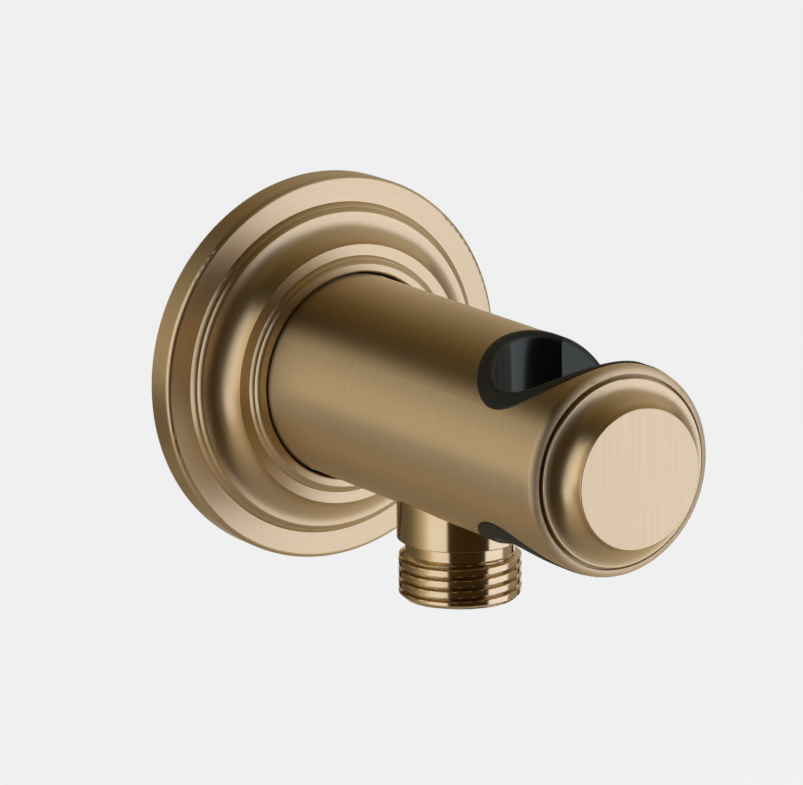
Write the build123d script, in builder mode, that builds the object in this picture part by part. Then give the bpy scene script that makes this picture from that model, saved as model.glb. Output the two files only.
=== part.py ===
from build123d import *
import os
from math import cos, radians, sin, sqrt

# Wall outlet elbow with a fixed hand-shower holder. All sizes are in millimetres.
# The origin lies on the arm's axis in the plane of the wall. +Z is up, the arm
# runs out of the wall along -Y, and the connector reaches into the wall along +Y.

# Hand-shower holder
cone_top_radius = 11.6
cone_bottom_radius = 10.4
liner_wall = 1.55
liner_back = 3.05
liner_jaw = 1.7
liner_proud = 0.15
liner_rounding = 1.0
slot_web = 2.8
end_wall = 1.9
holder_pitch = 30.7
snap_radius = 1.5
snap_height = 0.7

# Arm
arm_edge = 1.3
channel_radius = 4.5

# End cap
cap_height = 5.2
cap_shoulder = 1.9
cap_lip = 0.3
cap_cove_width = 3.6
cap_cove_depth = 4.2
cap_rim = 0.35
cap_edge = 0.2
shadow_groove_depth = 1.1
shadow_groove_overlap = 0.4
shadow_groove_land = 0.1

# Cap screw
cap_screw_radius = 2.0
cap_screw_head_radius = 3.7
cap_screw_bite = 2.8
cap_screw_key = 2.5
cap_screw_key_depth = 1.1

# Rosette, from the arm outwards
rosette_gap = 0.5
rosette_land = 1.4
rosette_inner_edge = 0.3
hub_upper_bead = 0.63
hub_lower_bead = 0.66
plateau_width = 1.91
cove_width = 4.9
cove_height = 3.96
step_upper_bead = 0.66
step_lower_bead = 0.86
bead_slope = 65.0
base_width = 4.48
base_height = 5.2
base_edge = 0.8
rosette_wall = 2.2
rosette_ring_section = 0.85

# Wall gasket
gasket_rim = 1.6
gasket_width = 2.6
gasket_thickness = 1.6

# Connector in the wall
wall_thread_radius = 10.48
wall_thread_length = 13.0
wall_thread_chamfer = 1.0
wall_relief_width = 2.0
wall_relief_depth = 1.3
hex_flats = 24.0
hex_thickness = 4.0
spigot_radius = 9.0
spigot_tail = 3.5
spigot_end_gap = 0.4
spigot_chamfer = 0.6
spigot_ring_section = 0.7
spigot_ring_offsets = (4.5, 8.5)

# Grub screw
set_screw_setback = 4.6
set_screw_radius = 2.5
set_screw_recess = 0.8
set_screw_point = 0.8
set_screw_key = 2.5
set_screw_key_depth = 2.5
lock_groove_depth = 1.0
lock_groove_play = 0.3

# Hose outlet
outlet_setback = 14.4
hose_thread_radius = 10.34
hose_thread_length = 7.95
hose_thread_chamfer = 0.8
neck_depth = 1.08
neck_length = 2.1
collar_radius = 10.6
collar_drop = 3.7
collar_edge = 0.2
spot_face_depth = 0.5
port_radius = 8.33
port_length = 6.2
port_end_gap = 0.3
port_chamfer = 0.6
outlet_bore_radius = 5.0
collar_ring_section = 0.6

# Non-return valve in the outlet
valve_bore_radius = 7.3
valve_recess = 2.1
valve_length = 14.0
valve_mouth_chamfer = 0.4
valve_throat_length = 4.9
valve_throat_radius = 3.6
valve_skin = 0.8
valve_ring_offset = 2.2
valve_ring_section = 0.65
guide_length = 2.6
guide_step = 0.4
guide_rim = 1.3
guide_hub_radius = 2.0
guide_rib_width = 1.2
guide_rib_count = 3
poppet_radius = 4.8
poppet_thickness = 1.0
button_play = 0.5
button_overlap = 0.5
button_height = 0.6
stem_radius = 1.1
stem_length = 6.4
stem_play = 0.06
seal_thickness = 0.9
spring_wire_radius = 0.25
spring_radius = 2.6
spring_turns = 3.5

# Clearances
thread_clearance = 0.05
slip_clearance = 0.1
ring_clearance = 0.02
seat_gap = 0.1

# Radii worked out from the holder outwards
slot_half_width = cone_top_radius + liner_wall + thread_clearance
slot_apex = cone_top_radius + liner_back + thread_clearance
arm_radius = slot_apex + slot_web
through = 2 * arm_radius
cap_flange_radius = arm_radius - cap_shoulder
socket_radius = spigot_radius + slip_clearance

# Rosette radii, from its bore to its rim
rosette_bore = arm_radius + rosette_gap
hub_radius = rosette_bore + rosette_land
hub_ledge_radius = hub_radius + hub_upper_bead
plateau_inner = hub_ledge_radius + hub_lower_bead
cove_inner = plateau_inner + plateau_width
cove_outer = cove_inner + cove_width
step_ledge_radius = cove_outer + step_upper_bead
base_inner = step_ledge_radius + step_lower_bead
rosette_radius = base_inner + base_width

# Rosette depths, from the wall to its front
step_ledge_y = -base_height - step_lower_bead
cove_outer_y = step_ledge_y - step_upper_bead
plateau_y = cove_outer_y - cove_height
hub_ledge_y = plateau_y - hub_lower_bead
rosette_front_y = hub_ledge_y - hub_upper_bead

# Distances from the wall along the arm
arm_rear = wall_relief_width + hex_thickness
set_screw_position = set_screw_setback - rosette_front_y
spigot_rings = [set_screw_position + offset for offset in spigot_ring_offsets]
spigot_end = spigot_rings[-1] + spigot_tail
socket_end = spigot_end + spigot_end_gap
outlet_position = socket_end + outlet_setback
holder_position = outlet_position + holder_pitch
slot_wall = holder_position + slot_half_width
arm_front = slot_wall + end_wall
projection = arm_front + cap_height

# Heights down the outlet and through the valve
spot_face_z = spot_face_depth - sqrt(arm_radius**2 - collar_radius**2)
port_top_z = spot_face_z + port_length
collar_bottom_z = -arm_radius - collar_drop
neck_bottom_z = collar_bottom_z - neck_length
outlet_mouth_z = neck_bottom_z - hose_thread_length
valve_bottom_z = outlet_mouth_z + valve_recess
valve_top_z = valve_bottom_z + valve_length
valve_seat_z = valve_top_z - valve_throat_length
guide_top_z = valve_bottom_z + guide_length
seal_top_z = valve_seat_z - seat_gap
disc_top_z = seal_top_z - seal_thickness
disc_bottom_z = disc_top_z - poppet_thickness

outlet_plane = Plane.XZ.offset(outlet_position)
outlet_axis = Axis((0, -outlet_position, 0), (0, 0, 1))
outlet_centre = (0, -outlet_position)
holder_axis = Axis((0, -holder_position, 0), (0, 0, 1))
set_screw_axis = Axis((0, -set_screw_position, 0), (0, 0, 1))
set_screw_centre = (0, -set_screw_position)
slot_centre = (slot_half_width - slot_apex, -holder_position)

os.makedirs("parts", exist_ok=True)


def write_piece(piece, name):
    piece.part.label = name
    export_step(piece.part, f"parts/{name}.step")


def ring_groove_width(section):
    """Width of the groove for a seal ring of this section radius."""
    return 2 * (section + slip_clearance)


# Connector: thread into the wall, hexagon for the spanner, and the spigot that carries the arm
spigot_ring_radius = socket_radius - ring_clearance - spigot_ring_section
spigot_groove_radius = spigot_ring_radius - spigot_ring_section - ring_clearance
lock_groove_radius = spigot_radius - lock_groove_depth
with BuildPart() as wall_nipple:
    with BuildSketch(Plane.XY):
        with BuildLine():
            Polyline(
                (channel_radius, wall_thread_length),
                (wall_thread_radius - wall_thread_chamfer, wall_thread_length),
                (wall_thread_radius, wall_thread_length - wall_thread_chamfer),
                (wall_thread_radius, 0),
                (wall_thread_radius - wall_relief_depth, 0),
                (wall_thread_radius - wall_relief_depth, -arm_rear),
                (spigot_radius, -arm_rear),
                (spigot_radius, spigot_chamfer - spigot_end),
                (spigot_radius - spigot_chamfer, -spigot_end),
                (channel_radius, -spigot_end),
                close=True,
            )
        make_face()
    revolve(axis=Axis.Y)
    with BuildSketch(Plane.XZ.offset(wall_relief_width)):
        RegularPolygon(hex_flats / 2, 6, major_radius=False)
        Circle(channel_radius, mode=Mode.SUBTRACT)
    extrude(amount=hex_thickness)
    with BuildSketch(Plane.XY):
        for position in spigot_rings:
            with Locations((spigot_groove_radius, -position)):
                Rectangle(
                    spigot_radius,
                    ring_groove_width(spigot_ring_section),
                    align=(Align.MIN, Align.CENTER),
                )
        with Locations((lock_groove_radius, -set_screw_position)):
            Rectangle(
                spigot_radius,
                2 * (set_screw_radius + lock_groove_play),
                align=(Align.MIN, Align.CENTER),
            )
    revolve(axis=Axis.Y, mode=Mode.SUBTRACT)
write_piece(wall_nipple, "wall_nipple")

# Two seal rings in the spigot's grooves
for name, position in zip(("rear", "front"), spigot_rings):
    with BuildPart() as wall_nipple_oring:
        with BuildSketch(Plane.XY):
            with Locations((spigot_ring_radius, -position)):
                Circle(spigot_ring_section)
        revolve(axis=Axis.Y)
    write_piece(wall_nipple_oring, f"wall_nipple_oring_{name}")

# Arm: turned bar with the socket and water channel, the outlet port and the holder slot
with BuildPart() as arm_body:
    with BuildSketch(Plane.XY):
        with BuildLine():
            rear = Line((0, -arm_rear), (arm_radius, -arm_rear))
            side = Line(rear @ 1, (arm_radius, arm_edge - arm_front))
            edge = TangentArc(side @ 1, (arm_radius - arm_edge, -arm_front), tangent=(0, -1))
            front = Line(edge @ 1, (0, -arm_front))
            Line(front @ 1, rear @ 0)
        make_face()
    revolve(axis=Axis.Y)
    with BuildSketch(Plane.XZ.offset(arm_front)):
        Circle(arm_radius - arm_edge - shadow_groove_land)
        Circle(cap_flange_radius - shadow_groove_overlap, mode=Mode.SUBTRACT)
    extrude(amount=-shadow_groove_depth, mode=Mode.SUBTRACT)
    with BuildSketch(Plane.XZ.offset(arm_rear)):
        Circle(socket_radius)
    extrude(amount=socket_end - arm_rear, mode=Mode.SUBTRACT)
    with BuildSketch(Plane.XZ.offset(socket_end)):
        Circle(channel_radius)
    extrude(amount=outlet_position - socket_end, mode=Mode.SUBTRACT)
    with BuildSketch(Plane.XY.offset(channel_radius / 2)):
        with Locations(outlet_centre):
            Circle(outlet_bore_radius)
    extrude(amount=port_top_z - channel_radius, mode=Mode.SUBTRACT)
    with BuildSketch(Plane.XY.offset(port_top_z + port_end_gap)):
        with Locations(outlet_centre):
            Circle(port_radius + thread_clearance)
    extrude(amount=-through, mode=Mode.SUBTRACT)
    with BuildSketch(Plane.XY.offset(spot_face_z)):
        with Locations(outlet_centre):
            Circle(collar_radius + thread_clearance)
    extrude(amount=-through, mode=Mode.SUBTRACT)
    with BuildSketch(Plane.XY):
        with Locations(set_screw_centre):
            Circle(set_screw_radius + thread_clearance)
    extrude(amount=-through, mode=Mode.SUBTRACT)
    with BuildSketch(Plane.XY.offset(-through)):
        with Locations(slot_centre):
            Circle(slot_half_width)
            Rectangle(through, 2 * slot_half_width, align=(Align.MIN, Align.CENTER))
    extrude(amount=2 * through, mode=Mode.SUBTRACT)
    with BuildSketch(Plane.YZ.offset(-slot_apex - snap_height - slip_clearance)):
        with Locations((-holder_position, 0)):
            Circle(snap_radius + slip_clearance)
    extrude(amount=slot_web, mode=Mode.SUBTRACT)
    with BuildSketch(Plane.XY):
        with BuildLine():
            Polyline(
                (0, -holder_position),
                (cap_screw_head_radius + slip_clearance, -holder_position),
                (cap_screw_head_radius + slip_clearance, -slot_wall),
                (cap_screw_radius + slip_clearance, cap_screw_radius - cap_screw_head_radius - slot_wall),
                (cap_screw_radius + slip_clearance, -arm_front),
                (0, -arm_front),
                close=True,
            )
        make_face()
    revolve(axis=Axis.Y, mode=Mode.SUBTRACT)
write_piece(arm_body, "arm_body")

# Grub screw: hexagon socket below, blunt point in the connector's lock groove
set_screw_bottom_z = set_screw_recess - arm_radius
set_screw_tip_z = -lock_groove_radius - seat_gap
with BuildPart() as set_screw:
    with BuildSketch(Plane.XZ.offset(set_screw_position)):
        with BuildLine():
            Polyline(
                (0, set_screw_bottom_z),
                (set_screw_radius, set_screw_bottom_z),
                (set_screw_radius, set_screw_tip_z - set_screw_point),
                (set_screw_radius - set_screw_point, set_screw_tip_z),
                (0, set_screw_tip_z),
                close=True,
            )
        make_face()
    revolve(axis=set_screw_axis)
    with BuildSketch(Plane.XY.offset(set_screw_bottom_z)):
        with Locations(set_screw_centre):
            RegularPolygon(set_screw_key / 2, 6, major_radius=False)
    extrude(amount=set_screw_key_depth, mode=Mode.SUBTRACT)
write_piece(set_screw, "set_screw")

# Rosette: turned and moulded cover plate, hollow at the back
gasket_outer = rosette_radius - gasket_rim
gasket_inner = gasket_outer - gasket_width
hollow_radius = gasket_inner - rosette_wall
hollow_depth = base_height - rosette_wall
core_radius = cove_inner - rosette_wall / 2
core_depth = -plateau_y - rosette_wall
rosette_ring_y = (rosette_front_y - core_depth) / 2
rosette_ring_radius = arm_radius + ring_clearance + rosette_ring_section
rosette_groove_radius = rosette_ring_radius + rosette_ring_section + ring_clearance
bead_start = (-cos(radians(bead_slope)), -sin(radians(bead_slope)))
with BuildPart() as rosette:
    with BuildSketch(Plane.XY):
        with BuildLine():
            back = Line((rosette_bore, 0), (rosette_radius, 0))
            rim = Line(back @ 1, (rosette_radius, base_edge - base_height))
            rim_edge = TangentArc(rim @ 1, (rosette_radius - base_edge, -base_height), tangent=(0, -1))
            base = Line(rim_edge @ 1, (base_inner, -base_height))
            step_lower = TangentArc(base @ 1, (step_ledge_radius, step_ledge_y), tangent=bead_start)
            step_upper = TangentArc(step_lower @ 1, (cove_outer, cove_outer_y), tangent=bead_start)
            cove = TangentArc(step_upper @ 1, (cove_inner, plateau_y), tangent=(-1, 0))
            plateau = Line(cove @ 1, (plateau_inner, plateau_y))
            hub_lower = TangentArc(plateau @ 1, (hub_ledge_radius, hub_ledge_y), tangent=bead_start)
            hub_upper = TangentArc(hub_lower @ 1, (hub_radius, rosette_front_y), tangent=bead_start)
            front = Line(hub_upper @ 1, (rosette_bore + rosette_inner_edge, rosette_front_y))
            inner_edge_end = (rosette_bore, rosette_front_y + rosette_inner_edge)
            inner_edge = TangentArc(front @ 1, inner_edge_end, tangent=(-1, 0))
            Line(inner_edge @ 1, back @ 0)
        make_face()
    revolve(axis=Axis.Y)
    with BuildSketch(Plane.XY):
        with Locations((gasket_inner, 0)):
            Rectangle(gasket_width, gasket_thickness, align=(Align.MIN, Align.MAX))
        Rectangle(hollow_radius, hollow_depth, align=(Align.MIN, Align.MAX))
        Rectangle(core_radius, core_depth, align=(Align.MIN, Align.MAX))
        with Locations((0, rosette_ring_y)):
            Rectangle(
                rosette_groove_radius,
                ring_groove_width(rosette_ring_section),
                align=(Align.MIN, Align.CENTER),
            )
    revolve(axis=Axis.Y, mode=Mode.SUBTRACT)
write_piece(rosette, "rosette")

# Friction ring between the rosette and the arm
with BuildPart() as rosette_oring:
    with BuildSketch(Plane.XY):
        with Locations((rosette_ring_radius, rosette_ring_y)):
            Circle(rosette_ring_section)
    revolve(axis=Axis.Y)
write_piece(rosette_oring, "rosette_oring")

# Gasket in the rosette's back, flush with its rim
with BuildPart() as wall_gasket:
    with BuildSketch(Plane.XY):
        with Locations((gasket_inner + ring_clearance, 0)):
            Rectangle(
                gasket_width - 2 * ring_clearance,
                gasket_thickness - ring_clearance,
                align=(Align.MIN, Align.MAX),
            )
    revolve(axis=Axis.Y)
write_piece(wall_gasket, "wall_gasket")

# End cap: turned front with a cove round a flat disc
cap_cove_start = cap_flange_radius - cap_lip
disc_radius = cap_cove_start - cap_cove_width
cap_cove_foot = (disc_radius, cap_rim - projection)
cap_lip_y = cap_rim + cap_cove_depth - projection
with BuildPart() as end_cap:
    with BuildSketch(Plane.XY):
        with BuildLine():
            back = Line((0, -arm_front), (cap_flange_radius, -arm_front))
            flange = Line(back @ 1, (cap_flange_radius, cap_lip_y + cap_edge))
            lip_edge = TangentArc(flange @ 1, (cap_flange_radius - cap_edge, cap_lip_y), tangent=(0, -1))
            lip = Line(lip_edge @ 1, (cap_cove_start, cap_lip_y))
            TangentArc(cap_cove_foot, lip @ 1, tangent=(0, 1))
            rim = Line(cap_cove_foot, (disc_radius, cap_edge - projection))
            disc_edge = TangentArc(rim @ 1, (disc_radius - cap_edge, -projection), tangent=(0, -1))
            disc = Line(disc_edge @ 1, (0, -projection))
            Line(disc @ 1, back @ 0)
        make_face()
    revolve(axis=Axis.Y)
    with BuildSketch(Plane.XZ.offset(arm_front)):
        Circle(cap_screw_radius + thread_clearance)
    extrude(amount=cap_screw_bite + slip_clearance, mode=Mode.SUBTRACT)
write_piece(end_cap, "end_cap")

# Countersunk screw through the arm's end wall into the cap, hidden by the liner
with BuildPart() as end_cap_screw:
    with BuildSketch(Plane.XY):
        with BuildLine():
            Polyline(
                (0, -slot_wall),
                (cap_screw_head_radius, -slot_wall),
                (cap_screw_radius, cap_screw_radius - cap_screw_head_radius - slot_wall),
                (cap_screw_radius, -arm_front - cap_screw_bite),
                (0, -arm_front - cap_screw_bite),
                close=True,
            )
        make_face()
    revolve(axis=Axis.Y)
    with BuildSketch(Plane.XZ.offset(slot_wall)):
        RegularPolygon(cap_screw_key / 2, 6, major_radius=False)
    extrude(amount=cap_screw_key_depth, mode=Mode.SUBTRACT)
write_piece(end_cap_screw, "end_cap_screw")

# Liner: fills the slot flush with the arm, with a tapered seat and a mouth for the hose
liner_half_width = slot_half_width - thread_clearance
liner_apex = slot_apex - thread_clearance
cone_taper = (cone_top_radius - cone_bottom_radius) / (2 * arm_radius)
cone_mean_radius = (cone_top_radius + cone_bottom_radius) / 2
cone_upper = cone_mean_radius + cone_taper * through
cone_lower = cone_mean_radius - cone_taper * through
with BuildPart() as holder_insert:
    with BuildSketch(Plane.XY.offset(-through)):
        with Locations((liner_half_width - liner_apex, -holder_position)):
            Circle(liner_half_width)
            Rectangle(through, 2 * liner_half_width, align=(Align.MIN, Align.CENTER))
    extrude(amount=2 * through)
    with BuildSketch(Plane.XZ.offset(holder_position - through)):
        Circle(arm_radius + liner_proud)
    extrude(amount=2 * through, mode=Mode.INTERSECT)
    with BuildSketch(Plane.XZ.offset(holder_position)):
        with BuildLine():
            Polyline(
                (0, through),
                (cone_upper, through),
                (cone_lower, -through),
                (0, -through),
                close=True,
            )
        make_face()
    revolve(axis=holder_axis, mode=Mode.SUBTRACT)
    with BuildSketch(Plane.YZ):
        with BuildLine():
            Polyline(
                (-holder_position - cone_upper + liner_jaw, through),
                (-holder_position + cone_upper - liner_jaw, through),
                (-holder_position + cone_lower - liner_jaw, -through),
                (-holder_position - cone_lower + liner_jaw, -through),
                close=True,
            )
        make_face()
    extrude(amount=through, mode=Mode.SUBTRACT)
    seat_rims = holder_insert.edges().filter_by(GeomType.BSPLINE).sort_by(Axis.X)[2:]
    mouth_rims = holder_insert.edges().filter_by(GeomType.ELLIPSE)
    fillet(seat_rims + mouth_rims, radius=liner_rounding)
    with BuildSketch(Plane.YZ.offset(-liner_apex - snap_height)):
        with Locations((-holder_position, 0)):
            Circle(snap_radius)
    extrude(amount=snap_height + liner_back / 2)
write_piece(holder_insert, "holder_insert")

# Hose outlet: screwed into the arm's port, sealed under its collar, threaded below for the hose
collar_groove_mean = (port_radius + collar_radius) / 2
collar_groove_depth = 2 * collar_ring_section + ring_clearance
neck_radius = hose_thread_radius - neck_depth
with BuildPart() as outlet_nipple:
    with BuildSketch(outlet_plane):
        with BuildLine():
            Polyline(
                (outlet_bore_radius, port_top_z),
                (port_radius - port_chamfer, port_top_z),
                (port_radius, port_top_z - port_chamfer),
                (port_radius, spot_face_z),
                (collar_radius, spot_face_z),
                (collar_radius, collar_bottom_z + collar_edge),
                (collar_radius - collar_edge, collar_bottom_z),
                (neck_radius, collar_bottom_z),
                (neck_radius, neck_bottom_z),
                (hose_thread_radius, neck_bottom_z - hose_thread_chamfer),
                (hose_thread_radius, outlet_mouth_z + hose_thread_chamfer),
                (hose_thread_radius - hose_thread_chamfer, outlet_mouth_z),
                (valve_bore_radius + valve_mouth_chamfer, outlet_mouth_z),
                (valve_bore_radius, outlet_mouth_z + valve_mouth_chamfer),
                (valve_bore_radius, valve_top_z),
                (outlet_bore_radius, valve_top_z),
                close=True,
            )
        make_face()
    revolve(axis=outlet_axis)
    with BuildSketch(outlet_plane):
        with Locations((collar_groove_mean, spot_face_z)):
            Rectangle(
                ring_groove_width(collar_ring_section),
                collar_groove_depth,
                align=(Align.CENTER, Align.MAX),
            )
    revolve(axis=outlet_axis, mode=Mode.SUBTRACT)
write_piece(outlet_nipple, "outlet_nipple")

# Seal ring under the collar
with BuildPart() as outlet_nipple_oring:
    with BuildSketch(outlet_plane):
        with Locations((collar_groove_mean, spot_face_z - collar_groove_depth / 2)):
            Circle(collar_ring_section)
    revolve(axis=outlet_axis)
write_piece(outlet_nipple_oring, "outlet_nipple_oring")

# Valve housing: throat and seat above, chamber below, ring groove outside
housing_radius = valve_bore_radius - slip_clearance
guide_pocket_radius = housing_radius - valve_skin
chamber_radius = guide_pocket_radius - guide_step
valve_ring_z = valve_top_z - valve_ring_offset
valve_ring_radius = valve_bore_radius - ring_clearance - valve_ring_section
valve_groove_radius = valve_ring_radius - valve_ring_section - ring_clearance
with BuildPart() as valve_housing:
    with BuildSketch(outlet_plane):
        with BuildLine():
            Polyline(
                (valve_throat_radius, valve_top_z),
                (housing_radius, valve_top_z),
                (housing_radius, valve_bottom_z),
                (guide_pocket_radius, valve_bottom_z),
                (guide_pocket_radius, guide_top_z),
                (chamber_radius, guide_top_z),
                (chamber_radius, valve_seat_z),
                (valve_throat_radius, valve_seat_z),
                close=True,
            )
        make_face()
        with Locations((valve_groove_radius, valve_ring_z)):
            Rectangle(
                housing_radius,
                ring_groove_width(valve_ring_section),
                align=(Align.MIN, Align.CENTER),
                mode=Mode.SUBTRACT,
            )
    revolve(axis=outlet_axis)
write_piece(valve_housing, "valve_housing")

# Seal ring round the valve housing
with BuildPart() as valve_oring:
    with BuildSketch(outlet_plane):
        with Locations((valve_ring_radius, valve_ring_z)):
            Circle(valve_ring_section)
    revolve(axis=outlet_axis)
write_piece(valve_oring, "valve_oring")

# Valve guide: hub on ribs in a rim, pressed up into the housing's pocket
guide_radius = guide_pocket_radius - thread_clearance
with BuildPart() as valve_guide:
    with BuildSketch(Plane.XY.offset(valve_bottom_z)):
        with Locations(outlet_centre):
            Circle(guide_radius)
            Circle(guide_radius - guide_rim, mode=Mode.SUBTRACT)
            Circle(guide_hub_radius)
            with PolarLocations(0, guide_rib_count):
                Rectangle(
                    guide_radius - guide_rim / 2,
                    guide_rib_width,
                    align=(Align.MIN, Align.CENTER),
                )
            Circle(stem_radius + stem_play, mode=Mode.SUBTRACT)
    extrude(amount=guide_length)
write_piece(valve_guide, "valve_guide")

# Poppet: disc, button that holds the seal, and the stem that runs in the guide
button_radius = valve_throat_radius - button_play
boss_radius = button_radius - button_overlap
with BuildPart() as valve_poppet:
    with BuildSketch(outlet_plane):
        with BuildLine():
            Polyline(
                (0, seal_top_z + button_height),
                (boss_radius, seal_top_z + button_height),
                (button_radius, seal_top_z + button_height / 2),
                (button_radius, seal_top_z),
                (boss_radius, seal_top_z),
                (boss_radius, disc_top_z),
                (poppet_radius, disc_top_z),
                (poppet_radius, disc_bottom_z),
                (stem_radius, disc_bottom_z),
                (stem_radius, disc_bottom_z - stem_length),
                (0, disc_bottom_z - stem_length),
                close=True,
            )
        make_face()
    revolve(axis=outlet_axis)
write_piece(valve_poppet, "valve_poppet")

# Flat seal held on the poppet under its button
with BuildPart() as valve_seal:
    with BuildSketch(Plane.XY.offset(disc_top_z)):
        with Locations(outlet_centre):
            Circle(poppet_radius)
            Circle(boss_radius + ring_clearance, mode=Mode.SUBTRACT)
    extrude(amount=seal_thickness)
write_piece(valve_seal, "valve_seal")

# Coil spring between the guide's ribs and the poppet's disc
spring_bottom_z = guide_top_z + spring_wire_radius + ring_clearance
spring_height = disc_bottom_z - spring_wire_radius - ring_clearance - spring_bottom_z
with BuildPart() as valve_spring:
    with BuildLine():
        coil = Helix(
            spring_height / spring_turns,
            spring_height,
            spring_radius,
            center=(0, -outlet_position, spring_bottom_z),
        )
    with BuildSketch(Plane(coil @ 0, z_dir=coil % 0)):
        Circle(spring_wire_radius)
    sweep(is_frenet=True)
write_piece(valve_spring, "valve_spring")
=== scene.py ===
from math import cos, pi, radians, sin, tan

import bpy
import numpy as np
from mathutils import Matrix, Vector


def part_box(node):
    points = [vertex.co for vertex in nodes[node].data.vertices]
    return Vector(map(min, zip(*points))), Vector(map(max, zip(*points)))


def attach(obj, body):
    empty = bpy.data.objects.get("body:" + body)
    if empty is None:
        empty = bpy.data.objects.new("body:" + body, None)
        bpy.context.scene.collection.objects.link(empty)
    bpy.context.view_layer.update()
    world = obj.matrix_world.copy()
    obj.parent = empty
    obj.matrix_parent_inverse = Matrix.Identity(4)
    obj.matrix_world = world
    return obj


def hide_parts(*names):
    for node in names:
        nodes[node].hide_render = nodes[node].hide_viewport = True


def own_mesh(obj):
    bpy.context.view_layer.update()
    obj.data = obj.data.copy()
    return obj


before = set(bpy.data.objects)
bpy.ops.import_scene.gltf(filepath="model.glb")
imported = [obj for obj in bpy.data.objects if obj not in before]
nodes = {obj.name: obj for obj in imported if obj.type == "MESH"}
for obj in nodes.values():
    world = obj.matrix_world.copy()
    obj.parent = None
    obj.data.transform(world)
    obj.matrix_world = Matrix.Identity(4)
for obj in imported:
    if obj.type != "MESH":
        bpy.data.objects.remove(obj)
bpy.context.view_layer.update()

MM = 0.001


# Wall connector. A turned brass fitting that screws into the pipe in the wall, with a
# hexagon for the spanner and a spigot that carries the arm. Left bare, with the bright
# rings of the lathe tool, because the cover plate hides it.
def feed(tree, sockets, terms):
    """Fills shader sockets in turn, each with a link or with a plain value."""
    for socket, term in zip(sockets, terms):
        if isinstance(term, bpy.types.NodeSocket):
            tree.links.new(term, socket)
        else:
            socket.default_value = term


def scalar(tree, operation, *terms):
    made = tree.nodes.new("ShaderNodeMath")
    made.operation = operation
    feed(tree, made.inputs, terms)
    return made.outputs["Value"]


def vector(tree, operation, *terms):
    made = tree.nodes.new("ShaderNodeVectorMath")
    made.operation = operation
    feed(tree, made.inputs, terms)
    return made.outputs["Value" if operation == "LENGTH" else "Vector"]


def place(tree):
    return tree.nodes.new("ShaderNodeTexCoord").outputs["Object"]


def spread(tree, value, low, high, start=0.0, end=1.0, interpolation="LINEAR"):
    """Maps a value that runs from start to end onto the range low to high."""
    made = tree.nodes.new("ShaderNodeMapRange")
    made.interpolation_type = interpolation
    sockets = [made.inputs[n] for n in ("Value", "From Min", "From Max", "To Min", "To Max")]
    feed(tree, sockets, (value, start, end, low, high))
    return made.outputs["Result"]


def colour_ramp(tree, value, stops):
    """Colours along a value from 0 to 1, from stops of (where, colour) in order."""
    made = tree.nodes.new("ShaderNodeValToRGB")
    elements = made.color_ramp.elements
    while len(elements) < len(stops):
        elements.new(0.5)
    for element, (where, colour) in zip(elements, stops):
        element.position = where
        element.color = (*colour, 1)
    feed(tree, made.inputs, [value])
    return made.outputs["Color"]


def new_finish(name, metallic=0.0):
    finish = bpy.data.materials.new(name)
    finish.use_nodes = True
    tree = finish.node_tree
    shader = tree.nodes["Principled BSDF"]
    shader.inputs["Metallic"].default_value = metallic
    return finish, tree, shader


PATTERN_LOW, PATTERN_HIGH = 0.25, 0.75


def tint(tree, pattern, dark, light):
    """Maps a pattern's usual span onto the colours dark to light."""
    return colour_ramp(tree, pattern, [(PATTERN_LOW, dark), (PATTERN_HIGH, light)])


def vary(tree, shader, pattern, dark, light, smooth, rough):
    """Lets a pattern vary the colour and the roughness of a finish."""
    sockets = shader.inputs["Base Color"], shader.inputs["Roughness"]
    feed(tree, sockets, (tint(tree, pattern, dark, light), spread(tree, pattern, smooth, rough)))


def relief(tree, shader, pattern, height, strength):
    made = tree.nodes.new("ShaderNodeBump")
    sockets = [made.inputs[n] for n in ("Height", "Distance", "Strength")]
    feed(tree, sockets, (pattern, height, strength))
    tree.links.new(made.outputs["Normal"], shader.inputs["Normal"])


def reach_from_axis(tree, centre, axis):
    """How far each place lies from a turning axis through centre."""
    across = [1, 1, 1]
    across[axis] = 0
    off_centre = vector(tree, "SUBTRACT", place(tree), centre)
    return vector(tree, "LENGTH", vector(tree, "MULTIPLY", off_centre, across))


RING_DETAIL, RING_ROUGHNESS = 3.0, 0.6


def tool_rings(tree, centre, axis, fine, slow):
    """A pattern of fine rings about a turning axis, broken up slowly round the turn."""
    stretch = [slow, slow, slow]
    stretch[axis] = fine
    off_centre = vector(tree, "SUBTRACT", place(tree), centre)
    made = tree.nodes.new("ShaderNodeTexNoise")
    made.noise_dimensions = "4D"
    sockets = [made.inputs[n] for n in ("Vector", "W", "Scale", "Detail", "Roughness")]
    along = vector(tree, "MULTIPLY", off_centre, stretch)
    outwards = scalar(tree, "MULTIPLY", reach_from_axis(tree, centre, axis), fine)
    feed(tree, sockets, (along, outwards, 1.0, RING_DETAIL, RING_ROUGHNESS))
    return made.outputs["Fac"]


TURNED_EDGE = radians(32)


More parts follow.
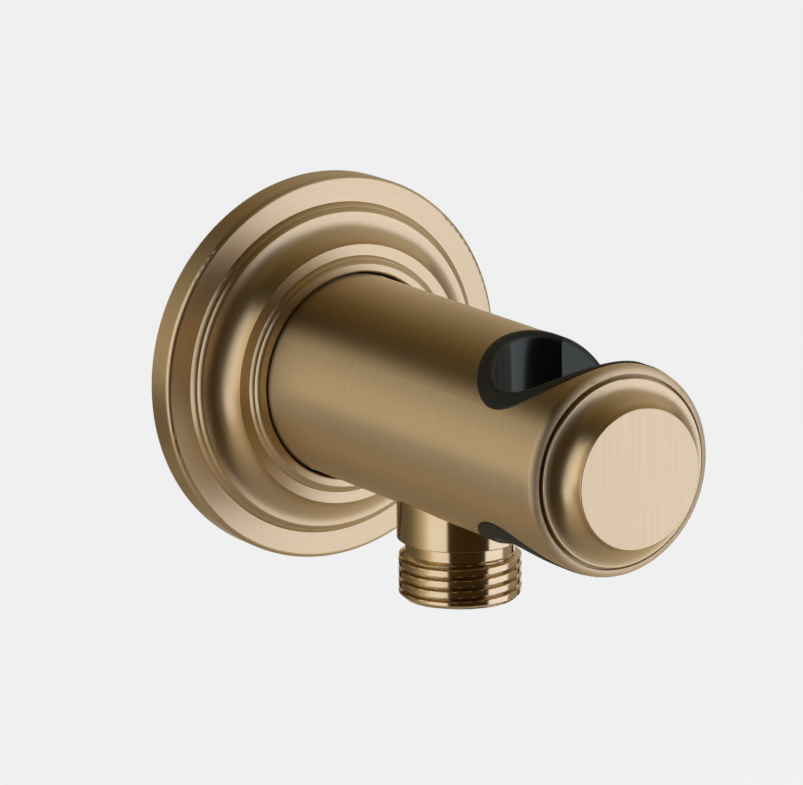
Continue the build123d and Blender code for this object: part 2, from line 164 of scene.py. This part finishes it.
def turned_mesh(name, rows, to_place):
    """A closed turned body from rows of (height, radii round the turn), placed by to_place."""
    count = len(rows[0][1])
    turn = np.arange(count) * 2 * pi / count
    mirrored = to_place.determinant() < 0
    points = np.concatenate(
        [
            np.stack([radii * np.cos(turn), radii * np.sin(turn), np.full(count, height)], 1)
            for height, radii in rows
        ]
    )
    faces = []
    for row in range(len(rows)):
        here = row * count
        after = (row + 1) % len(rows) * count
        for step in range(count):
            beside = (step + 1) % count
            face = (here + step, here + beside, after + beside, after + step)
            faces.append(face if mirrored else face[::-1])
    mesh = bpy.data.meshes.new(name)
    mesh.from_pydata([to_place @ Vector(p) for p in points], [], faces)
    mesh.validate()
    mesh.shade_smooth()
    mesh.set_sharp_from_angle(angle=TURNED_EDGE)
    made = bpy.data.objects.new(name, mesh)
    bpy.context.scene.collection.objects.link(made)
    return made


CREST_BREADTH = 1.1
FLANK_SLOPE = 2.1


def thread_radii(height, turn, crest, root, pitch, crest_height, crest_turn):
    """Radii round a right-hand pipe thread at one height, with flat crests and rounded roots."""
    along = (height - crest_height) / pitch - (turn - crest_turn) / (2 * pi)
    wave = 1 - 4 * np.abs(along - np.round(along))
    rounded = np.sin(np.clip(CREST_BREADTH + FLANK_SLOPE * wave, -1, 1) * pi / 2)
    return (crest + root) / 2 + (crest - root) / 2 * rounded


def middle_y(node):
    low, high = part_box(node)
    return (low.y + high.y) / 2


TURN_STEPS = 240
turn = np.arange(TURN_STEPS) * 2 * pi / TURN_STEPS
ROUND = np.ones(TURN_STEPS)
PIPE_PITCH = 1.814 * MM
WALL_ROWS_PER_PITCH = 18
wall_crest = 10.48 * MM
wall_root = 9.32 * MM
connector_low, connector_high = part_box("wall_nipple")
thread_end = connector_high.y
lead_in = 1.0 * MM
bore = 4.5 * MM
relief_radius = 9.18 * MM
hexagon_back = -2.0 * MM
hexagon_front = -6.0 * MM
hexagon_half = 12.0 * MM
hexagon_bevel = 0.9 * MM
HEXAGON_BEVEL_SLOPE = 2
HEXAGON_BEVEL_STEPS = 6
spigot = 9.0 * MM
spigot_lead = 0.6 * MM
spigot_end = connector_low.y
ring_groove = 7.66 * MM
ring_groove_half = 0.8 * MM
ring_places = [middle_y("wall_nipple_oring_rear"), middle_y("wall_nipple_oring_front")]
lock_groove = 8.0 * MM
lock_groove_half = 2.8 * MM
lock_groove_at = middle_y("set_screw")

half_side = pi / 6
hexagon = hexagon_half / np.cos((turn + half_side) % (2 * half_side) - half_side)
rows = [(thread_end, ROUND * bore)]
for height in np.arange(thread_end, 0, -PIPE_PITCH / WALL_ROWS_PER_PITCH):
    cut = thread_radii(height, turn, wall_crest, wall_root, PIPE_PITCH, 0, 0)
    limit = min(wall_crest, wall_crest - lead_in + thread_end - height)
    rows.append((height, np.minimum(cut, limit)))
rows.append((0, ROUND * relief_radius))
rows.append((hexagon_back, ROUND * relief_radius))
for share in np.linspace(0, 1, HEXAGON_BEVEL_STEPS):
    corner = hexagon_half + share * hexagon_bevel * HEXAGON_BEVEL_SLOPE
    rows.append((hexagon_back - share * hexagon_bevel, np.minimum(hexagon, corner)))
rows.append((hexagon_front, hexagon))
rows.append((hexagon_front, ROUND * spigot))
for middle, half, floor_radius in (
    (lock_groove_at, lock_groove_half, lock_groove),
    (ring_places[0], ring_groove_half, ring_groove),
    (ring_places[1], ring_groove_half, ring_groove),
):
    rows.append((middle + half, ROUND * spigot))
    rows.append((middle + half, ROUND * floor_radius))
    rows.append((middle - half, ROUND * floor_radius))
    rows.append((middle - half, ROUND * spigot))
rows.append((spigot_end + spigot_lead, ROUND * spigot))
rows.append((spigot_end, ROUND * (spigot - spigot_lead)))
rows.append((spigot_end, ROUND * bore))
along_the_arm = Matrix(((1, 0, 0), (0, 0, 1), (0, 1, 0)))
connector = turned_mesh("wall_connector", rows, along_the_arm)

BRASS_DARK, BRASS_LIGHT = (0.60, 0.43, 0.17), (0.74, 0.56, 0.26)
ARM_CENTRE, ARM_AXIS = (0, 0, 0), 1
bare_brass, tree, shader = new_finish("bare_brass", metallic=1.0)
rings = tool_rings(tree, ARM_CENTRE, ARM_AXIS, fine=2600, slow=40)
vary(tree, shader, rings, BRASS_DARK, BRASS_LIGHT, smooth=0.20, rough=0.38)
relief(tree, shader, rings, height=0.02 * MM, strength=0.25)
connector.data.materials.append(bare_brass)
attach(connector, "outlet")
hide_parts("wall_nipple")


# Seal rings. Moulded black rubber rings with a faint bloom: two in the connector's grooves,
# one under the outlet's collar, one round the valve, the poppet's seal, and the friction ring
# of the cover plate.
def noise(tree, where, scale, detail=3.0, roughness=0.5):
    made = tree.nodes.new("ShaderNodeTexNoise")
    sockets = [made.inputs[n] for n in ("Vector", "Scale", "Detail", "Roughness")]
    feed(tree, sockets, (where, scale, detail, roughness))
    return made.outputs["Fac"]


def give_finish(node, finish):
    nodes[node].data.materials.clear()
    nodes[node].data.materials.append(finish)


RUBBER_DARK, RUBBER_LIGHT = (0.012, 0.012, 0.012), (0.030, 0.030, 0.031)
seal_rubber, tree, shader = new_finish("seal_rubber")
bloom = noise(tree, place(tree), scale=900, detail=4.0, roughness=0.6)
vary(tree, shader, bloom, RUBBER_DARK, RUBBER_LIGHT, smooth=0.48, rough=0.66)
relief(tree, shader, noise(tree, place(tree), scale=6000, detail=2.0), height=0.01 * MM, strength=0.2)
for ring in (
    "wall_nipple_oring_rear",
    "wall_nipple_oring_front",
    "rosette_oring",
    "outlet_nipple_oring",
    "valve_oring",
    "valve_seal",
):
    give_finish(ring, seal_rubber)


# Arm. A turned brass bar, coated bronze and brushed round and round, so that the light
# drags along it in soft bands. The holder slot and the outlet port are milled into it.
BRONZE_DARK, BRONZE_LIGHT = (0.655, 0.502, 0.306), (0.765, 0.602, 0.372)
QUARTER_TURN = 0.25


def bronze(name, strokes_of, smooth, rough, drag):
    """Brushed bronze whose strokes are the pattern that strokes_of makes in the finish."""
    finish, tree, shader = new_finish(name, metallic=1.0)
    strokes = strokes_of(tree)
    vary(tree, shader, strokes, BRONZE_DARK, BRONZE_LIGHT, smooth, rough)
    relief(tree, shader, strokes, height=0.006 * MM, strength=0.08)
    round_about = tree.nodes.new("ShaderNodeTangent")
    round_about.direction_type = "RADIAL"
    round_about.axis = "Y"
    sockets = [shader.inputs[n] for n in ("Anisotropic", "Anisotropic Rotation", "Tangent")]
    feed(tree, sockets, (drag, QUARTER_TURN, round_about.outputs["Tangent"]))
    return finish


def round_strokes(tree):
    return tool_rings(tree, ARM_CENTRE, ARM_AXIS, fine=5500, slow=50)


arm_bronze = bronze("brushed_bronze_arm", round_strokes, smooth=0.38, rough=0.48, drag=0.9)
give_finish("arm_body", arm_bronze)


# Screws. Stainless steel with hexagon sockets. The grub screw goes up from under the arm into
# the connector's groove, so that the arm can't turn or pull off, and the other holds the cap.
STEEL_DARK, STEEL_LIGHT = (0.36, 0.36, 0.37), (0.52, 0.52, 0.53)
screw_steel, tree, shader = new_finish("screw_steel", metallic=1.0)
grain = noise(tree, place(tree), scale=2500, roughness=0.6)
vary(tree, shader, grain, STEEL_DARK, STEEL_LIGHT, smooth=0.28, rough=0.45)
give_finish("set_screw", screw_steel)
give_finish("end_cap_screw", screw_steel)


# Cover plate. Turned from brass in three steps with coves and beads between them, coated
# bronze and brushed on the lathe. It slides over the arm and hides the hole in the wall.
plate_bronze = bronze("brushed_bronze_plate", round_strokes, smooth=0.27, rough=0.36, drag=0.4)
give_finish("rosette", plate_bronze)


# Gasket. A flat ring of foam rubber let into the back of the cover plate, against the tiles.
# Its open cells make it matt and rough.
FOAM_DARK, FOAM_LIGHT = (0.020, 0.020, 0.021), (0.060, 0.060, 0.061)
FOAM_ROUGHNESS = 0.85
foam_rubber, tree, shader = new_finish("foam_rubber")
cells = noise(tree, place(tree), scale=3500, roughness=0.7)
tree.links.new(tint(tree, cells, FOAM_DARK, FOAM_LIGHT), shader.inputs["Base Color"])
shader.inputs["Roughness"].default_value = FOAM_ROUGHNESS
relief(tree, shader, cells, height=0.05 * MM, strength=0.5)
give_finish("wall_gasket", foam_rubber)


# End cap. Turned brass with a cove round a flat disc, coated bronze; its mouldings are
# brushed round and round and its disc straight up and down. A screw behind the liner holds it.
DISC_RADIUS = 11.6 * MM
UPRIGHT_GRAIN = (3500, 1, 60)
MIX_SOCKETS = {"FLOAT": (0, 2, 3, 0), "RGBA": (0, 6, 7, 2)}


def mix(tree, kind, share, first, second):
    """Blends two values (FLOAT) or colours (RGBA), from first at share 0 to second at share 1."""
    made = tree.nodes.new("ShaderNodeMix")
    made.data_type = kind
    *taken, given = MIX_SOCKETS[kind]
    feed(tree, [made.inputs[k] for k in taken], (share, first, second))
    return made.outputs[given]


def cap_strokes(tree):
    """Upright strokes on the flat disc and round ones on the mouldings about it."""
    drawn_up = vector(tree, "MULTIPLY", place(tree), UPRIGHT_GRAIN)
    straight = noise(tree, drawn_up, scale=1.0, roughness=0.6)
    reach = reach_from_axis(tree, ARM_CENTRE, ARM_AXIS)
    on_disc = scalar(tree, "LESS_THAN", reach, DISC_RADIUS)
    return mix(tree, "FLOAT", on_disc, round_strokes(tree), straight)


cap_bronze = bronze("brushed_bronze_cap", cap_strokes, smooth=0.27, rough=0.35, drag=0.0)
give_finish("end_cap", cap_bronze)


# Holder liner. Moulded black plastic, snapped into the slot: glossy inside, where the hand
# shower's cone slides, and matt on the lip that follows the arm.
LIP_INNER, LIP_OUTER = 16.5 * MM, 17.0 * MM
LINER_DARK, LINER_LIGHT = (0.005, 0.007, 0.007), (0.010, 0.013, 0.013)
LINER_GLINT = (0.96, 1.0, 0.84, 1)
liner_black, tree, shader = new_finish("liner_black")
skin = noise(tree, place(tree), scale=260)
reach = reach_from_axis(tree, ARM_CENTRE, ARM_AXIS)
on_lip = spread(tree, reach, 0.0, 1.0, LIP_INNER, LIP_OUTER, "SMOOTHSTEP")
glossy, matt = spread(tree, skin, 0.14, 0.22), spread(tree, skin, 0.50, 0.60)
tree.links.new(mix(tree, "FLOAT", on_lip, glossy, matt), shader.inputs["Roughness"])
tree.links.new(tint(tree, skin, LINER_DARK, LINER_LIGHT), shader.inputs["Base Color"])
shader.inputs["Specular Tint"].default_value = LINER_GLINT
relief(tree, shader, noise(tree, place(tree), scale=1400, detail=2.0), height=0.01 * MM, strength=0.08)
give_finish("holder_insert", liner_black)


# Hose outlet. A turned brass nipple with a collar, a neck and a G 1/2 pipe thread, coated
# bronze and polished, with painted shade in the thread's roots: a greyer bronze there. It is
# screwed up into the arm's port, and the hose's nut screws on from below.
HOSE_ROWS_PER_PITCH = 28
outlet_low, outlet_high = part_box("outlet_nipple")
outlet_y = (outlet_low.y + outlet_high.y) / 2
outlet_top = outlet_high.z
outlet_mouth = outlet_low.z
port = 8.33 * MM
port_lead = 0.6 * MM
spot_face = -13.386 * MM
collar = outlet_high.x
collar_foot = -21.2 * MM
collar_edge = 0.2 * MM
collar_ring_low, collar_ring_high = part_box("outlet_nipple_oring")
collar_groove_play = 0.1 * MM
collar_groove_width = 1.4 * MM
collar_groove_outer = collar_ring_high.x + collar_groove_play
collar_groove_inner = collar_groove_outer - collar_groove_width
collar_groove_clearance = 0.01 * MM
collar_groove_floor = collar_ring_low.z - collar_groove_clearance
neck = 9.26 * MM
neck_foot = -23.3 * MM
hose_crest = 10.34 * MM
hose_root = 9.2 * MM
hose_lead = 0.8 * MM
crest_height = -28.93 * MM
crest_turn = radians(146.3)
valve_bore = 7.3 * MM
valve_lead = 0.4 * MM
valve_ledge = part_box("valve_housing")[1].z
water_bore = 5.0 * MM

rows = [
    (outlet_top, ROUND * water_bore),
    (outlet_top, ROUND * (port - port_lead)),
    (outlet_top - port_lead, ROUND * port),
    (spot_face, ROUND * port),
    (spot_face, ROUND * collar_groove_inner),
    (collar_groove_floor, ROUND * collar_groove_inner),
    (collar_groove_floor, ROUND * collar_groove_outer),
    (spot_face, ROUND * collar_groove_outer),
    (spot_face, ROUND * collar),
    (collar_foot + collar_edge, ROUND * collar),
    (collar_foot, ROUND * (collar - collar_edge)),
    (collar_foot, ROUND * neck),
]
for height in np.arange(neck_foot, outlet_mouth, -PIPE_PITCH / HOSE_ROWS_PER_PITCH):
    cut = thread_radii(height, turn, hose_crest, hose_root, PIPE_PITCH, crest_height, crest_turn)
    run_in = neck + (hose_crest - neck) * (neck_foot - height) / hose_lead
    run_out = hose_crest - hose_lead + height - outlet_mouth
    rows.append((height, np.minimum(cut, min(hose_crest, run_in, run_out))))
rows += [
    (outlet_mouth, ROUND * min(hose_root, hose_crest - hose_lead)),
    (outlet_mouth, ROUND * (valve_bore + valve_lead)),
    (outlet_mouth + valve_lead, ROUND * valve_bore),
    (valve_ledge, ROUND * valve_bore),
    (valve_ledge, ROUND * water_bore),
]
outlet = turned_mesh("hose_outlet", rows, Matrix.Translation((0, outlet_y, 0)))

POLISH_DARK, POLISH_LIGHT = (0.68, 0.522, 0.320), (0.75, 0.588, 0.364)
# Painted shade: the greyer bronze painted into the thread's roots.
ROOT_PAINTED_SHADE = (0.68, 0.59, 0.46, 1)
SHADE_WITHIN, BRIGHT_BEYOND = 0.35 * MM, 1.05 * MM
OUTLET_CENTRE, OUTLET_AXIS = (0, outlet_y, 0), 2
polished_bronze, tree, shader = new_finish("polished_bronze", metallic=1.0)
lines = tool_rings(tree, OUTLET_CENTRE, OUTLET_AXIS, fine=2200, slow=30)
tree.links.new(spread(tree, lines, 0.09, 0.17), shader.inputs["Roughness"])
relief(tree, shader, lines, height=0.01 * MM, strength=0.06)
# Close to the thread's roots, below the neck, the polish turns into the painted shade colour.
reach = reach_from_axis(tree, OUTLET_CENTRE, OUTLET_AXIS)
off_root = scalar(tree, "ABSOLUTE", scalar(tree, "SUBTRACT", reach, hose_root))
off_root_share = spread(tree, off_root, 0.0, 1.0, SHADE_WITHIN, BRIGHT_BEYOND, "SMOOTHSTEP")
upright = tree.nodes.new("ShaderNodeSeparateXYZ")
tree.links.new(place(tree), upright.inputs["Vector"])
over_thread = scalar(tree, "GREATER_THAN", upright.outputs["Z"], neck_foot)
bright = scalar(tree, "MAXIMUM", off_root_share, over_thread)
polish = tint(tree, lines, POLISH_DARK, POLISH_LIGHT)
tree.links.new(mix(tree, "RGBA", bright, ROOT_PAINTED_SHADE, polish), shader.inputs["Base Color"])
outlet.data.materials.append(polished_bronze)
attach(outlet, "outlet")
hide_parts("outlet_nipple")


# Non-return valve. A moulded plastic cartridge pushed up into the outlet: white housing and
# guide, a grey poppet with a rubber seal, and a stainless spring that holds it shut and
# shortens as the poppet lifts off its seat.
def moulded_plastic(name, dark, light):
    finish, tree, shader = new_finish(name)
    flow = noise(tree, place(tree), scale=500)
    vary(tree, shader, flow, dark, light, smooth=0.36, rough=0.50)
    shader.inputs["Subsurface Weight"].default_value = 0.1
    shader.inputs["Subsurface Scale"].default_value = 0.6 * MM
    orange_peel = noise(tree, place(tree), scale=4000, detail=2.0)
    relief(tree, shader, orange_peel, height=0.01 * MM, strength=0.15)
    return finish


white_plastic = moulded_plastic("white_plastic", dark=(0.70, 0.70, 0.67), light=(0.78, 0.78, 0.75))
grey_plastic = moulded_plastic("grey_plastic", dark=(0.36, 0.38, 0.40), light=(0.44, 0.46, 0.48))
give_finish("valve_housing", white_plastic)
give_finish("valve_guide", white_plastic)
give_finish("valve_poppet", grey_plastic)

WIRE_DARK, WIRE_LIGHT = (0.50, 0.50, 0.52), (0.66, 0.66, 0.68)
spring_steel, tree, shader = new_finish("spring_steel", metallic=1.0)
drawn = noise(tree, place(tree), scale=3000, roughness=0.6)
vary(tree, shader, drawn, WIRE_DARK, WIRE_LIGHT, smooth=0.18, rough=0.32)

SPRING_TURNS = 3.5
SPRING_STEPS = 168
WIRE_SIDES = 12
WIRE_EDGE = radians(60)
wire = 0.25 * MM
spring_low, spring_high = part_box("valve_spring")
coil = spring_high.x - wire
spring_foot = spring_low.z + wire
wound_angle = 2 * pi * SPRING_TURNS
climb = (spring_high.z - wire - spring_foot) / wound_angle
points = []
for step in range(SPRING_STEPS + 1):
    wound = wound_angle * step / SPRING_STEPS
    outwards = Vector((cos(wound), sin(wound), 0))
    onwards = Vector((-coil * sin(wound), coil * cos(wound), climb)).normalized()
    aside = onwards.cross(outwards)
    centre = Vector((0, outlet_y, spring_foot + climb * wound)) + outwards * coil
    for side in range(WIRE_SIDES):
        about = 2 * pi * side / WIRE_SIDES
        points.append(centre + (outwards * cos(about) + aside * sin(about)) * wire)
first_end = tuple(reversed(range(WIRE_SIDES)))
last_end = tuple(range(len(points) - WIRE_SIDES, len(points)))
faces = [first_end, last_end]
for first in range(0, SPRING_STEPS * WIRE_SIDES, WIRE_SIDES):
    for side in range(WIRE_SIDES):
        here, beside = first + side, first + (side + 1) % WIRE_SIDES
        faces.append((here, beside, beside + WIRE_SIDES, here + WIRE_SIDES))
mesh = bpy.data.meshes.new("coil_spring")
mesh.from_pydata(points, [], faces)
mesh.shade_smooth()
mesh.set_sharp_from_angle(angle=WIRE_EDGE)
mesh.materials.append(spring_steel)
spring = bpy.data.objects.new("coil_spring", mesh)
bpy.context.scene.collection.objects.link(spring)
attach(spring, "outlet")
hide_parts("valve_spring")
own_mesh(spring)


# Floor. A plain pale sweep well below the outlet, which hangs on no wall here. The camera
# sees it pale all over. The bronze mirrors it pale from afar, and close below it mirrors
# painted light: a warm, dim glow painted on the floor.
FLOOR_HEIGHT = -0.42
FLOOR_REACH = 8.0
FLOOR_EDGES = 128
FLOOR_GREY = (0.60, 0.60, 0.60, 1)
FLOOR_ROUGHNESS = 0.9
PALE = (0.741, 0.767, 0.80, 1)
DIM_WITHIN, PALE_BEYOND = 0.65, 1.0
DIM_LEFT, DIM_RIGHT = -0.40, 0.40
# Painted light: the warm, dim glow that only reflections see on the floor close below the outlet.
PAINTED_GLOW_COLOURS = [
    (0.0, (0.24, 0.183, 0.104)),
    (0.36, (0.08, 0.058, 0.028)),
    (0.52, (0.10, 0.076, 0.042)),
    (1.0, (0.34, 0.285, 0.190)),
]
bpy.ops.mesh.primitive_circle_add(
    vertices=FLOOR_EDGES, radius=FLOOR_REACH, fill_type="NGON", location=(0, 0, FLOOR_HEIGHT)
)
floor = bpy.context.object
floor.name = "floor"
pale_floor, tree, shader = new_finish("pale_floor")
shader.inputs["Base Color"].default_value = FLOOR_GREY
shader.inputs["Roughness"].default_value = FLOOR_ROUGHNESS
shader.inputs["Specular IOR Level"].default_value = 0.0
seen_by = tree.nodes.new("ShaderNodeLightPath").outputs
camera_or_gloss = scalar(tree, "MAXIMUM", seen_by["Is Camera Ray"], seen_by["Is Glossy Ray"])
any_of_them = scalar(tree, "MAXIMUM", camera_or_gloss, seen_by["Is Transmission Ray"])
away = vector(tree, "LENGTH", place(tree))
far_off = spread(tree, away, 0.0, 1.0, DIM_WITHIN, PALE_BEYOND, "SMOOTHSTEP")
sideways = tree.nodes.new("ShaderNodeSeparateXYZ")
tree.links.new(place(tree), sideways.inputs["Vector"])
to_right = spread(tree, sideways.outputs["X"], 0.0, 1.0, DIM_LEFT, DIM_RIGHT)
dim = colour_ramp(tree, to_right, PAINTED_GLOW_COLOURS)
# The camera sees the pale glow everywhere; reflections see it from afar, and the painted dim glow
# close below.
pale_share = scalar(tree, "MAXIMUM", far_off, seen_by["Is Camera Ray"])
tree.links.new(mix(tree, "RGBA", pale_share, dim, PALE), shader.inputs["Emission Color"])
tree.links.new(any_of_them, shader.inputs["Emission Strength"])
floor.data.materials.append(pale_floor)


# Lamps. Two upright soft boxes on the right, and on the left a curved panel that is white
# towards the front and fades, warm and dim, towards the back. Dark cards stand between them
# and behind, and the bronze mirrors them.
AIM = Vector((0, -0.045, 0))
BOX_DISTANCE = 0.70


def stand_upright(made, first, last, distance, top):
    """Stands a piece of the studio on the floor between two angles from +X towards +Y."""
    middle = radians((first + last) / 2)
    outwards = Vector((cos(middle), sin(middle), 0))
    made.location = AIM + outwards * distance + Vector((0, 0, (FLOOR_HEIGHT + top) / 2))
    made.rotation_euler = outwards.to_track_quat("Z", "Y").to_euler()
    made.visible_camera = False
    bpy.context.scene.collection.objects.link(made)


def width_between(first, last, distance):
    return 2 * distance * tan(radians(last - first) / 2)


def soft_box(name, first, last, top, brightness, colour):
    lamp = bpy.data.lights.new(name, "AREA")
    lamp.shape = "RECTANGLE"
    lamp.size = width_between(first, last, BOX_DISTANCE)
    lamp.size_y = top - FLOOR_HEIGHT
    lamp.energy = brightness * pi * lamp.size * lamp.size_y
    lamp.color = colour
    stand_upright(bpy.data.objects.new(name, lamp), first, last, BOX_DISTANCE, top)


COOL_WHITE, WARM_WHITE = (1.0, 1.055, 1.28), (1.0, 0.95, 0.84)
soft_box("soft_box_right", first=290, last=336, top=0.37, brightness=1.14, colour=COOL_WHITE)
soft_box(
    "soft_box_right_fade", first=337, last=372, top=0.10, brightness=0.30, colour=WARM_WHITE
)


def card_mesh(name, corners, faces, finish, location):
    mesh = bpy.data.meshes.new(name)
    mesh.from_pydata(corners, [], faces)
    mesh.materials.append(finish)
    card = bpy.data.objects.new(name, mesh)
    card.location = location
    card.visible_camera = False
    return card


PANEL_FIRST, PANEL_LAST, PANEL_STEPS, PANEL_TOP = 92, 211, 60, 0.60
WHITE_FROM = 180
PANEL_WHITE = (1, 1.0, 1.05)
DIM_GREEN, GREEN_GAIN = 0.82, 0.10
DIM_BLUE, BLUE_GAIN = 0.55, 0.21
LOWER_LEVELS = [
    (92, 0.12), (118, 0.12), (130, 0.14), (141, 0.20), (152, 0.33),
    (166, 0.58), (180, 0.92), (192, 0.96), (204, 0.94),
]
UPPER_LEVELS = [
    (92, 0.13), (106, 0.17), (118, 0.23), (130, 0.40), (141, 0.68),
    (152, 0.94), (166, 1.0), (180, 0.94), (192, 0.80), (204, 0.50),
]
UPPER_STARTS, UPPER_ALONE = -0.20, -0.08
DIMMING_FROM = 0.02
LEVEL_LOW_DOWN, LEVEL_AT_TOP = 1.12, 0.85


def panel_light(tree, turn_share, levels):
    """The panel's light round its turn, from (angle, level), warmer where it is dim."""
    stops = []
    for angle, level in levels:
        warm = (1, DIM_GREEN + GREEN_GAIN * level, DIM_BLUE + BLUE_GAIN * level)
        hue = PANEL_WHITE if angle >= WHITE_FROM else warm
        where = (angle - PANEL_FIRST) / (PANEL_LAST - PANEL_FIRST)
        stops.append((where, [level * share for share in hue]))
    return colour_ramp(tree, turn_share, stops)


left_glow, tree, shader = new_finish("left_glow")
apart = tree.nodes.new("ShaderNodeSeparateXYZ")
tree.links.new(place(tree), apart.inputs["Vector"])
bearing = scalar(tree, "ARCTAN2", apart.outputs["Y"], apart.outputs["X"])
whole_turn = scalar(tree, "WRAP", bearing, 2 * pi, 0.0)
turn_share = spread(tree, whole_turn, 0.0, 1.0, radians(PANEL_FIRST), radians(PANEL_LAST))
lower = panel_light(tree, turn_share, LOWER_LEVELS)
upper = panel_light(tree, turn_share, UPPER_LEVELS)
height = apart.outputs["Z"]
upper_share = spread(tree, height, 0.0, 1.0, UPPER_STARTS, UPPER_ALONE, "SMOOTHSTEP")
strength = spread(
    tree, height, LEVEL_LOW_DOWN, LEVEL_AT_TOP, DIMMING_FROM, PANEL_TOP, "SMOOTHSTEP"
)
shader.inputs["Base Color"].default_value = (0, 0, 0, 1)
shader.inputs["Specular IOR Level"].default_value = 0.0
tree.links.new(strength, shader.inputs["Emission Strength"])
tree.links.new(mix(tree, "RGBA", upper_share, lower, upper), shader.inputs["Emission Color"])
panel_points = []
for step in range(PANEL_STEPS + 1):
    angle = radians(PANEL_FIRST + (PANEL_LAST - PANEL_FIRST) * step / PANEL_STEPS)
    for z in (FLOOR_HEIGHT, PANEL_TOP):
        panel_points.append((BOX_DISTANCE * cos(angle), BOX_DISTANCE * sin(angle), z))
panel_faces = [(k, k + 1, k + 3, k + 2) for k in range(0, 2 * PANEL_STEPS, 2)]
panel = card_mesh("soft_panel_left", panel_points, panel_faces, left_glow, AIM)
bpy.context.scene.collection.objects.link(panel)

FELT_BROWN = (0.12, 0.080, 0.030, 1)
dark_felt, tree, shader = new_finish("dark_felt")
shader.inputs["Base Color"].default_value = FELT_BROWN
shader.inputs["Roughness"].default_value = 1.0
shader.inputs["Specular IOR Level"].default_value = 0.0


def dark_card(name, first, last, distance, top):
    half_width = width_between(first, last, distance) / 2
    half_height = (top - FLOOR_HEIGHT) / 2
    signs = (-1, -1), (1, -1), (1, 1), (-1, 1)
    corners = [(u * half_width, v * half_height, 0) for u, v in signs]
    card = card_mesh(name, corners, [(0, 1, 2, 3)], dark_felt, AIM)
    stand_upright(card, first, last, distance, top)


CARD_DISTANCE = 0.74
FRONT_CARD_DISTANCE = 0.45
dark_card("dark_card_front", first=213, last=288, distance=FRONT_CARD_DISTANCE, top=0.30)
dark_card("dark_card_left_back", first=74, last=93, distance=CARD_DISTANCE, top=0.19)
dark_card("dark_card_right", first=286, last=343, distance=CARD_DISTANCE, top=0.40)
dark_card("dark_card_right_back", first=343, last=385, distance=CARD_DISTANCE, top=0.13)

ROOM_LEFT, ROOM_RIGHT = -0.5, 1.0
ROOM_COLOURS = [
    (0.0, (0.03, 0.020, 0.006)),
    (0.33, (0.16, 0.112, 0.042)),
    (1.0, (0.56, 0.50, 0.41)),
]
BACKDROP_PALE = (0.86, 0.86, 0.86, 1)
world = bpy.data.worlds.new("studio")
world.use_nodes = True
tree = world.node_tree
heading = tree.nodes.new("ShaderNodeSeparateXYZ")
outlook = tree.nodes.new("ShaderNodeTexCoord").outputs["Generated"]
tree.links.new(outlook, heading.inputs["Vector"])
from_left = spread(tree, heading.outputs["X"], 0.0, 1.0, ROOM_LEFT, ROOM_RIGHT)
room = colour_ramp(tree, from_left, ROOM_COLOURS)
seen_by = tree.nodes.new("ShaderNodeLightPath").outputs
backdrop = mix(tree, "RGBA", seen_by["Is Camera Ray"], room, BACKDROP_PALE)
tree.links.new(backdrop, tree.nodes["Background"].inputs["Color"])
bpy.context.scene.world = world


# Camera. A long lens that looks down on the arm from its left front, and leans by a third of
# a degree.
camera_data = bpy.data.cameras.new("camera")
camera_data.sensor_fit = "HORIZONTAL"
camera_data.sensor_width = 36.0
camera_data.lens = 255.16
camera_data.clip_start = 0.01
camera_data.clip_end = 50.0
camera = bpy.data.objects.new("camera", camera_data)
bpy.context.scene.collection.objects.link(camera)
yaw, pitch, roll = radians(33.684), radians(14.364), radians(0.350)
ahead = Vector((sin(yaw) * cos(pitch), cos(yaw) * cos(pitch), -sin(pitch)))
level_right = Vector((cos(yaw), -sin(yaw), 0))
level_down = ahead.cross(level_right)
right = level_right * cos(roll) + level_down * sin(roll)
down = level_down * cos(roll) - level_right * sin(roll)
stand = Vector((-0.51607, -0.80030, 0.23825))
turned = Matrix((right, -down, -ahead)).transposed().to_4x4()
camera.matrix_world = Matrix.Translation(stand) @ turned
bpy.context.scene.camera = camera
bpy.context.scene.view_settings.view_transform = "Standard"
